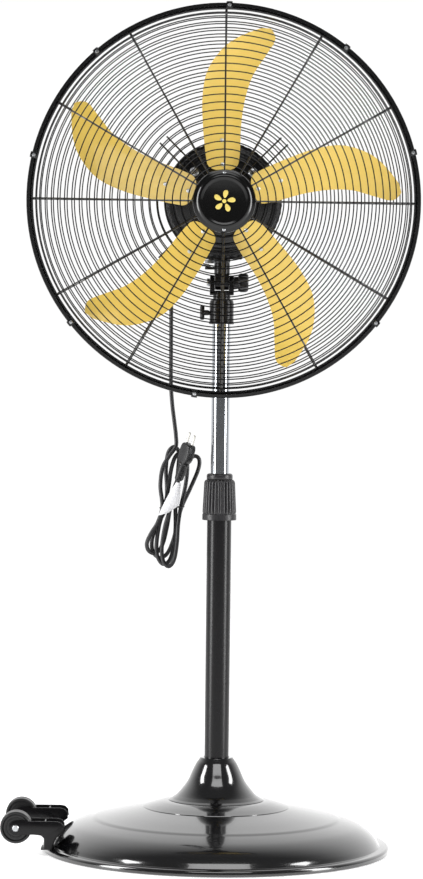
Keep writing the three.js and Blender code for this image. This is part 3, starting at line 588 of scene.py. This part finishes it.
spider_parts = []
hub_profile = [(9.4, -5), (40.5, -5), (42, -3.5), (42, 9.5), (40.5, 11), (20, 11), (20, 21), (19, 22),
    (9.4, 22)]
spider_parts.append(shifted(to_y(turned(hub_profile, 64, closed=True)), y=BLADE_Y, z=HUB_Z))
for i in range(BLADES):
    lean = math.sin(math.radians(-2.5))
    corners = [(-11 + lean * 30, 30), (11 + lean * 30, 30), (11 + lean * 118, 118), (lean * 122, 122),
        (-11 + lean * 118, 118)]
    front = [Vector((a, BLADE_Y + 1.2 + blade_depth(a, b), b)) for a, b in corners]
    back = [p + Vector((0, 2.5, 0)) for p in front]
    faces = [[0, 1, 2, 3, 4],
        [9, 8, 7, 6, 5]] + [[k, (k + 1) % 5, 5 + (k + 1) % 5, 5 + k] for k in range(5)]
    spider_parts.append(clockwise(shifted(bevelled((front + back, faces), 0.6), z=HUB_Z),
        i * 360 / BLADES))
piece("spider_casting", spider_parts, SATIN, "rotor", ["blade_spider"])
nut = bevelled(turned([(0, -20), (14, -20), (16, -17), (16, -6), (0, -6)], 6), 0.8)
piece("blade_nut_hex", [shifted(to_y(nut), y=BLADE_Y, z=HUB_Z)], ZINC, "rotor", ["blade_nut"])

# ---------------------------------------------------------------- motor
MOTOR_FRONT, MOTOR_SPLIT, MOTOR_BACK, MOTOR_RADIUS = -70, -24, 26, 108
FINS = 48


def scalloped(angle, radius, height):
    """Shallow vertical fins round the motor's drum."""
    if radius < 101:
        return 1
    return 1 - 0.012 * (0.5 + 0.5 * math.cos(angle * FINS)) ** 2


front_profile = [
    (10, 0), (82.5, 0), (84, 0.8), (87.4, 6.4), (89, 7.2), (98.8, 8.8), (100, 9.8), (101.6, 15.8),
    (103, 17.6), (106.4, 19.2),
    (108, 21), (108, 46), (104.5, 46), (104.5, 24), (97, 14), (86, 11), (80, 4), (10, 4),
]
shell = turned(front_profile, 240, closed=True, wobble=scalloped)
piece("motor_front_casing", [shifted(to_y(shell), y=MOTOR_FRONT, z=HUB_Z)], SATIN, "head",
    ["motor_front_shell"])
# raised ribs on the shoulder of the front casing
slots = []
for i in range(36):
    slot = bevelled(block((-1.7, MOTOR_FRONT + 6.9, 89.5), (1.7, MOTOR_FRONT + 9.6, 98.6)), 0.5, 1)
    slots.append(clockwise(shifted(slot, z=HUB_Z), i * 10 + 5))
piece("motor_vent_ribs", slots, PLASTIC, "head")

back_profile = [(10, MOTOR_BACK), (71, MOTOR_BACK), (72.5, MOTOR_BACK - 0.6), (84, MOTOR_BACK - 6),
    (98, MOTOR_BACK - 10),
                (105, MOTOR_BACK - 17), (108, MOTOR_BACK - 22), (108, MOTOR_SPLIT + 0.8),
                (107, MOTOR_SPLIT + 0.2),
                (104.5, MOTOR_SPLIT + 0.2), (104.5, MOTOR_BACK - 23), (95, MOTOR_BACK - 13),
                (70, MOTOR_BACK - 4),
                (10, MOTOR_BACK - 4)]
shell = turned(back_profile, 240, closed=True, wobble=scalloped)
rear_parts = [shifted(to_y(shell), z=HUB_Z)]
for i in range(24):
    rib = bevelled(block((-1.4, MOTOR_BACK - 9, 50), (1.4, MOTOR_BACK + 1.2, 80)), 0.6, 1)
    rear_parts.append(clockwise(shifted(rib, z=HUB_Z), i * 15))
boss = bevelled(turned([(7.6, 1074.4), (15, 1074.4), (15.6, 1086), (21, 1098), (7.6, 1098)], 48,
    closed=True), 1)
rear_parts.append(boss)
piece("motor_rear_casing", rear_parts, SATIN, "head", ["motor_rear_shell"])

screw_profile = [(0, -6.4), (5.2, -6.1), (7.6, -5), (8.8, -3), (8.8, -0.2), (2.5, -0.2), (2.5, 3), (0, 3)]
for i in range(4):
    screw = shifted(to_y(turned(screw_profile, 24)), y=MOTOR_FRONT, z=HUB_Z + 75)
    # the slot across each screw head is painted shade: a dark nylon bar laid on the zinc head instead of a
    # cut
    painted_slot_shade = shifted(block((-6.6, -6.55, -0.9), (6.6, -5.4, 0.9)), y=MOTOR_FRONT, z=HUB_Z + 75)
    made = piece(f"motor_screw_{i + 1}_head", [clockwise(screw, 45 + 90 * i)], ZINC, "head",
        [f"motor_screw_{i + 1}"])
    turned_slot_shade = clockwise(painted_slot_shade, 45 + 90 * i)
    piece(f"motor_screw_{i + 1}_groove", [turned_slot_shade], PLASTIC, "head")


# ---------------------------------------------------------------- gearbox, knobs and gland at the back
def arch(half, top, foot):
    """Outline of a box with a round top, as (left to right, height)."""
    centre = top - half
    round_top = [(half * math.cos(t), centre + half * math.sin(t))
        for t in (math.pi * k / 24 for k in range(25))]
    return [(half, foot), *round_top, (-half, foot)]


housing = bevelled(prism(arch(38, 1222, 1080), 26.3, 95, "Y"), 3, 3)
piece("gearbox_casing", [housing], PLASTIC, "head", ["gearbox_housing"])
lid = bevelled(prism(arch(38, 1222, 1080), 95.2, 98.5, "Y"), 1.2, 3)
inner = bevelled(prism([(a * 0.82, 1151 + (b - 1151) * 0.86) for a, b in arch(38, 1222, 1080)], 98, 99.4,
    "Y"), 0.6, 2)
piece("gearbox_lid", [lid, inner], PLASTIC, "head", ["gearbox_cover"])
lid_screws = [
    shifted(to_y(turned([(0, 2.2), (2.2, 2), (3, 1), (3, 0), (0, 0)], 20)), x=a, y=98.6, z=b)
    for a, b in ((-31, 1090), (31, 1090), (-31, 1186), (31, 1186))
]
piece("gearbox_lid_screws", lid_screws, ZINC, "head")


def grip(angle, radius, height):
    """Finger flutes round a control knob."""
    return 1 - (0.05 * (0.5 + 0.5 * math.cos(angle * 18)) ** 2 if radius > 11.5 and height > 5.2 else 0)


dial = turned([(0, 0), (16, 0), (16, 4.4), (15, 5), (13.2, 5.6), (12.4, 15.6), (11, 17), (0, 17)], 90,
    wobble=grip)
dial_parts = [shifted(to_y(dial), y=99, z=1150),
    shifted(block((-0.7, 115.6, 2), (0.7, 116.3, 11)), z=1150)]
piece("speed_dial_cap", dial_parts, PLASTIC, "speed_dial", ["speed_knob"])
button = turned([(0, 1200), (3.5, 1200), (3.5, 1228), (8, 1228.8), (9, 1232), (9.2, 1238), (8.2, 1242),
    (5.5, 1244.6), (0, 1245)], 40)
piece("clutch_button", [shifted(button, -21, 62)], PLASTIC, "clutch", ["clutch_knob"])
gland_profile = [(4.2, 38.2), (10, 38.2), (10, 42), (7.8, 43)]
for k in range(4):
    at = 44 + k * 3.4
    gland_profile += [(7.4 - k * 0.4, at), (7.4 - k * 0.4, at + 1.7), (6.2 - k * 0.4, at + 2),
        (6.2 - k * 0.4, at + 3.1)]
gland_profile += [(5.6, 58.2), (4.2, 58.2)]
gland = moved(turned(gland_profile, 40, closed=True), Matrix.Rotation(-math.pi / 2, 4, "Y"))
piece("cord_gland_boot", [shifted(gland, y=62, z=1120)], CORD, "head", ["cord_gland"])

# ---------------------------------------------------------------- tilting bracket and poles
NECK_FOOT, NECK_TOP = 1061, 1074 + HEAD_RAISE


def ear(radius, foot, steps=18):
    """Outline of a bracket ear round the tilting axis, as (front to back, height)."""
    arc = [(radius * math.cos(t), TILT_Z + radius * math.sin(t))
        for t in (math.pi * k / steps for k in range(steps + 1))]
    return [(radius, foot), *arc, (-radius, foot)]


yoke_parts = [bevelled(turned([(0, 1015.3), (16, 1015.3), (16, 1029), (0, 1029)], 48), 0.8)]
yoke_parts.append(bevelled(block((-22.2, -13.5, 1023.5), (22.2, 13.5, 1032)), 1.6, 3))
for low in (-22.2, 13.3):
    yoke_parts.append(bevelled(prism(ear(13.5, 1026), low, low + 8.9, "X"), 1.2, 3))
piece("tilt_yoke_casting", yoke_parts, SATIN, "mast", ["tilt_yoke"])
knuckle = [bevelled(prism([(a, 2 * TILT_Z - b) for a, b in ear(13, 1032)], -13, 13, "X"), 1.2, 3)]
knuckle.append(bevelled(turned([(0, NECK_FOOT), (14.5, NECK_FOOT), (14.5, NECK_TOP), (0, NECK_TOP)], 48),
    0.8))
knuckle.append(turned([(0, NECK_TOP - 1), (7, NECK_TOP - 1), (7, NECK_TOP + 18), (6, NECK_TOP + 19),
    (0, NECK_TOP + 19)], 32))
lug = prism([(0, -6), (0, 6), (-26, 6), (-30, 4), (-32, 0), (-30, -4), (-26, -6)], 1070.9, 1076)
knuckle.append(bevelled(lug, 0.8))
knuckle.append(shifted(rod(2.2, 1075.4, 1080.9), -26))
piece("tilt_knuckle_casting", knuckle, SATIN, "neck", ["tilt_knuckle"])
bolt = joined(bevelled(turned([(0, -28.5), (6.6, -28.5), (7.5, -27.6), (7.5, -22.4), (0, -22.4)], 6),
    0.5), rod(4, -23, 36, 0.7, 32))
piece("tilt_bolt_hex", [shifted(to_x(bolt), z=TILT_Z)], ZINC, "mast", ["tilt_bolt"])


def lobes(angle, radius, height):
    """Six finger lobes round the tilt knob."""
    return 1 - (0.2 * (0.5 - 0.5 * math.cos(angle * 6)) ** 1.5 if radius > 12 else 0)


knob = turned([(5, 22.5), (11, 22.5), (11.5, 30), (14.5, 30.4), (16.4, 32), (17.5, 35), (17.3, 44),
    (16, 47.4), (13.5, 49), (5, 49)],
              96, closed=True, wobble=lobes)
piece("tilt_knob_grip", [shifted(to_x(knob), z=TILT_Z)], PLASTIC, "tilt_knob", ["tilt_knob"])

clamp_profile = [(17.2, 970), (22.4, 970), (23.4, 971), (23.4, 972.8), (22.6, 974), (22.2, 980),
    (22.4, 1009), (21.5, 1013.4), (19.6, 1015),
                 (0, 1015), (0, 1008.2), (17.2, 1008.2)]
piece("pole_clamp_sleeve", [turned(clamp_profile, 64, closed=True)], SATIN, "mast", ["pole_clamp"])
screw_rod = moved(turned([(0, 17.2), (3, 17.2), (3, 33), (0, 33)], 24),
    Matrix.Rotation(-math.pi / 2, 4, "Y"))
bar = turned([(0, -13.5), (3, -13), (4.2, -11), (4.25, 11), (3, 13), (0, 13.5)], 24)
wing = [shifted(screw_rod, z=991), shifted(bar, x=-35.75, z=991),
    shifted(moved(rod(5, 23.6, 32, 0.8), Matrix.Rotation(-math.pi / 2, 4, "Y")), z=991)]
piece("wing_screw_bar", wing, PLASTIC, "wing_screw", ["clamp_wing_screw"])

inner = turned(sleeve(15.5, 17, 330, 1008), 96, closed=True)
piece("sliding_pole", [inner], CHROME, "mast", ["inner_pole"])
outer = turned(sleeve(20.5, 22.5, 98, 655), 96, closed=True)
piece("standing_pole", [outer], SATIN, "stand", ["outer_pole"])

RIBS = 26


def ribbed(angle, radius, height):
    """Rounded grip ribs of the locking collar, between its plain lower ring and its top."""
    if radius < 26 or not 620.5 < height < 680.5:
        return 1
    return 0.93 + 0.07 * abs(math.sin(angle * RIBS / 2)) ** 0.55


grip_profile = [(22.8, 608), (30.9, 608), (31.5, 608.8), (31.5, 618.6), (30.4, 619.6), (30.2, 620.4),
    (30.8, 621.4), (31.3, 623)]
grip_profile += [(31.3 - 2.6 * k / 8, 623 + 54 * k / 8) for k in range(1, 9)] + [(27.6, 680),
    (25.6, 682.2), (23, 683), (22.8, 683)]
piece("collar_grip", [turned(grip_profile, 312, closed=True, wobble=ribbed)], PLASTIC, "collar",
    ["height_collar"])
cap = turned([(17.4, 683.3), (23.6, 683.3), (24, 684), (24, 690.6), (23, 692.6), (20.5, 694),
    (17.4, 694)], 96, closed=True)
piece("collar_cap_ring", [cap], PLASTIC, "collar", ["collar_cap"])

# ---------------------------------------------------------------- base
flare_line = curve_through(
    [(88, 91.8, 0), (76, 98.6, 0), (63.5, 112, 0), (52.7, 127, 0), (44.6, 145, 0), (37.8, 158.6, 0),
    (33.6, 164.6, 0), (31, 168.2, 0)], 6
)
flare_profile = [(23.1, 169.5), (28.6, 169.7), (30.2, 169.4)] + [(p.x, p.y) for p in reversed(flare_line)]
flare_profile += [(87, 91.4), (60, 110), (48, 128), (40, 148), (28.4, 167), (23.1, 167)]
piece("flare_spinning", [turned(flare_profile, 128, closed=True)], GLOSS, "stand", ["base_flare"])

dome_line = curve_through(
    [(9, 92, 0), (60, 91.9, 0), (90, 91, 0), (112, 86.4, 0), (135, 79.6, 0)], 5
) + curve_through([(135.6, 78.6, 0), (180, 69.6, 0), (226, 59.3, 0)], 6) + curve_through(
    [(227.4, 58.4, 0), (247, 52.8, 0), (264, 46.6, 0), (278, 38.6, 0), (289, 29.6, 0), (297, 20.6, 0),
    (301.6, 13.6, 0)], 4
)
dome_profile = [(p.x, p.y) for p in dome_line]
dome_profile += [(303, 11.6), (305, 11), (314.6, 11), (317.6, 10.2), (319.4, 8.4), (320, 6), (320, 0.8),
    (319.2, 0), (318, 0), (318, 7),
                 (305, 8.4), (299, 12), (287, 27), (262, 44), (226, 56.6), (135, 76), (90, 89), (9, 89.6)]
piece("base_pressing", [turned(dome_profile, 192, closed=True)], GLOSS, "stand", ["base_cover"])

# ---------------------------------------------------------------- wheels and forks
TREAD = [
    (4.2, -16.4), (9.6, -16.4), (10.2, -15.6), (10.6, -13.6), (16.6, -13.6), (17.2, -14.6), (18.4, -14.6),
    (19, -13.6), (22.4, -13.6),
    (23.2, -15.4), (24.6, -16.8), (26.6, -16.8), (28.2, -15.4), (29, -13), (29, -1.2), (28.4, 0),
]
wheel_profile = TREAD + [(r, -h) for r, h in reversed(TREAD[:-1])]
axle_profile = [(0, -24.4), (4.6, -24.2), (6.4, -22.8), (6.6, -22.2), (4, -22.2), (4, 22.2), (6.6, 22.2),
    (6.4, 22.8), (4.6, 24.2), (0, 24.4)]


def fork_outline():
    """An L-shaped fork plate from the rim of the base out to the axle, as (left to right, height)."""
    end = [(WHEEL_X + 12.5 * math.cos(t), WHEEL_Z + 12.5 * math.sin(t))
        for t in (math.pi * (0.5 + k / 16) for k in range(17))]
    lower = [(-330, 38.5), (-318, 37), (-312.4, 32), (-312, 11.6), (-296, 11.6)]
    upper = [(-296, 20), (-291, 30), (-288, 34.6), (-276, 44), (-277, 55.6), (-283, 61.4), (-292, 63),
        (-330, 63)]
    return end + lower + upper


for side, y in (("front", -WHEEL_Y), ("rear", WHEEL_Y)):
    tyre = turned(wheel_profile, 96, closed=True)
    piece(f"{side}_castor_wheel", [shifted(to_y(tyre), WHEEL_X, y, WHEEL_Z)], RUBBER, f"{side}_wheel",
        [f"wheel_{side}"])
    pin = turned(axle_profile, 32)
    piece(f"{side}_castor_axle", [shifted(to_y(pin), WHEEL_X, y, WHEEL_Z)], ZINC, "stand",
        [f"wheel_axle_{side}"])
    fork = [bevelled(prism(fork_outline(), y + low, y + low + 2.6, "Y"), 0.7) for low in (-22.1, 19.5)]
    fork.append(bevelled(block((-312, y - 20, 20), (-309.4, y + 20, 62)), 0.6))
    fork.append(bevelled(block((-318, y - 22, 11.2), (-300, y + 22, 13.6)), 0.6))
    piece(f"{side}_castor_fork", fork, SATIN, "stand", [f"wheel_fork_{side}"])

# ---------------------------------------------------------------- cord, plug, label and tie
LEAD_TURNS = [
    (-58.4, 57, 1132.9), (-66, 57, 1132.5), (-78, 57, 1128.5), (-88, 57, 1119), (-93, 57, 1105),
    (-93.8, 57, 1080), (-93.5, 57, 1000),
    (-93, 57, 920), (-92.5, 56.5, 860), (-89.5, 54.5, 820), (-85, 51, 786), (-82, 48.5, 762),
]
HANK_TURNS = [
    (-82, 46.5, 742), (-94, 46, 724), (-106, 46, 702), (-110, 46.4, 668), (-106, 48, 630),
    (-114, 49, 600), (-127, 50, 578), (-134, 52, 560), (-130, 55, 546), (-117, 60, 542), (-105, 64, 558),
    (-97, 67, 590), (-91, 68, 628),
    (-84, 68, 664), (-72, 68, 692), (-57, 67, 716), (-46, 66, 724), (-38, 65, 717), (-40, 64, 698),
    (-54, 64.6, 664), (-70, 65, 628),
    (-78, 66, 596), (-85, 66, 566), (-96, 65, 541), (-110, 64, 533), (-123, 63, 545), (-124, 62, 570),
    (-112, 62, 600), (-99, 62, 628),
    (-98, 61, 665), (-100, 60, 700), (-96, 59, 730), (-85, 58, 741), (-76, 57, 730), (-77, 57, 705),
    (-80, 58, 665), (-81.5, 58, 628),
    (-81, 58, 590), (-84, 58, 553), (-92, 57.6, 528), (-104, 57, 522), (-114, 56, 536), (-116, 55.6, 560),
    (-111, 55, 596), (-102, 54, 628),
    (-95, 53, 665), (-90, 52, 700), (-83, 51, 722), (-73, 51, 730), (-64, 52.6, 722), (-60, 54, 704),
    (-63, 54, 670), (-71.5, 52, 628),
    (-76, 49, 596), (-78, 48, 560), (-83, 48, 530), (-93, 48, 518), (-103, 48, 528), (-106, 48, 552),
    (-101, 48, 590), (-92, 47, 622),
    (-85, 43, 645), (-79.5, 36.6, 663), (-76.6, 33, 680),
]
cord_line = curve_through(LEAD_TURNS + HANK_TURNS, 8)
cord = piece("power_cord", [wire(cord_line, CORD_DIAMETER / 2, 12)], CORD, "cord",
    ["cord_lead", "cord_hank"])


def lean_plug(part):
    """Puts a shape made upright at the lead's end, turned, tipped and leaning to the right."""
    turn = Matrix.Rotation(math.radians(16), 4, "Y") @ Matrix.Rotation(math.radians(14), 4, "X")
    return shifted(moved(part, turn @ Matrix.Rotation(math.radians(-50), 4, "Z")), -76, 32.7, 680)


plug_side = [(4.4, 0), (5, 10), (6, 26), (8.4, 35), (12.4, 40), (14, 45), (14.3, 57), (13.4, 65),
    (11.4, 70), (8.4, 72)]
plug_outline = plug_side + [(-a, b) for a, b in reversed(plug_side)]
plug_body = bevelled(prism(plug_outline, -8.6, 8.6, "Y"), 3, 3, 40)
relief = turned([(4, -1), (6.2, 0), (6.6, 3), (5.4, 4.4), (5.4, 6.4), (6.8, 7.6), (6.8, 10.4), (5.8, 12),
    (5.8, 14), (7.2, 15.6), (7, 19),
                 (5, 22), (0, 22), (0, -1)], 32)
collar = turned([(0, 30), (8.8, 30), (10.6, 31.4), (10.6, 34.4), (8.8, 36), (0, 36)], 40)
plug = piece("plug_moulding", [lean_plug(p) for p in (plug_body, relief, collar)], CORD, "cord", ["plug"])
pins = [lean_plug(shifted(rod(2.4, 72, 92.6, 1.6, 24), x)) for x in (-8, 8)]
plug_pins = piece("plug_pins", pins, PIN, "cord")

LABEL_ROWS = (
    ((-80.6, 28.2, 676), (-71.6, 28.2, 674)), ((-88, 30, 664), (-72.6, 30, 661)),
    ((-97, 36, 648), (-73.6, 36, 644)),
    ((-105, 40.4, 632), (-75, 40.4, 633)), ((-113.4, 42.6, 613), (-95, 42.2, 618)),
)
label_left = curve_through([row[0] for row in LABEL_ROWS], 5)
label_right = curve_through([row[1] for row in LABEL_ROWS], 5)
label_points = [a.lerp(b, k / 6) + Vector((0, -2.4 * math.sin(math.pi * k / 6), 0)) for a,
    b in zip(label_left, label_right) for k in range(7)]
label_back = [p + Vector((0, 0.4, 0)) for p in label_points]
count = len(label_points)
label_faces = [[r * 7 + c, r * 7 + c + 1, r * 7 + c + 8, r * 7 + c + 7]
    for r in range(len(label_left) - 1) for c in range(6)]
label_faces += [[count + k for k in reversed(face)] for face in label_faces]
label = piece("cord_label_tag", [(label_points + label_back, label_faces)], PAPER, "cord", ["cord_label"])
tie_line = curve_through([(-108, 45, 627), (-90, 42, 628), (-70, 45, 629), (-65.6, 57, 629),
    (-68, 69, 629), (-90, 73, 628),
                          (-104, 69, 627), (-110.4, 57, 627)], 6, loop=True)
tie = piece("cord_tie_band", [wire(tie_line, 1.0, 8, loop=True)], RUBBER, "cord", ["cord_tie"])

# ---------------------------------------------------------------- frame parts that show as they are
CARRIED = {
    IRON: ("base_ballast", "stator_core", "rotor_core"),
    STEEL: ("base_bottom_plate", "base_stud", "pole_socket", "motor_shaft", "crank_shaft",
    "oscillation_link"),
    PLASTIC: ("pole_bushing", "capacitor"),
    COPPER: ("front_winding", "rear_winding"),
    ZINC: ("front_bearing", "rear_bearing"),
}
for material, names in CARRIED.items():
    for name in names:
        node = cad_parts[name]
        node.data.materials.clear()
        node.data.materials.append(material)
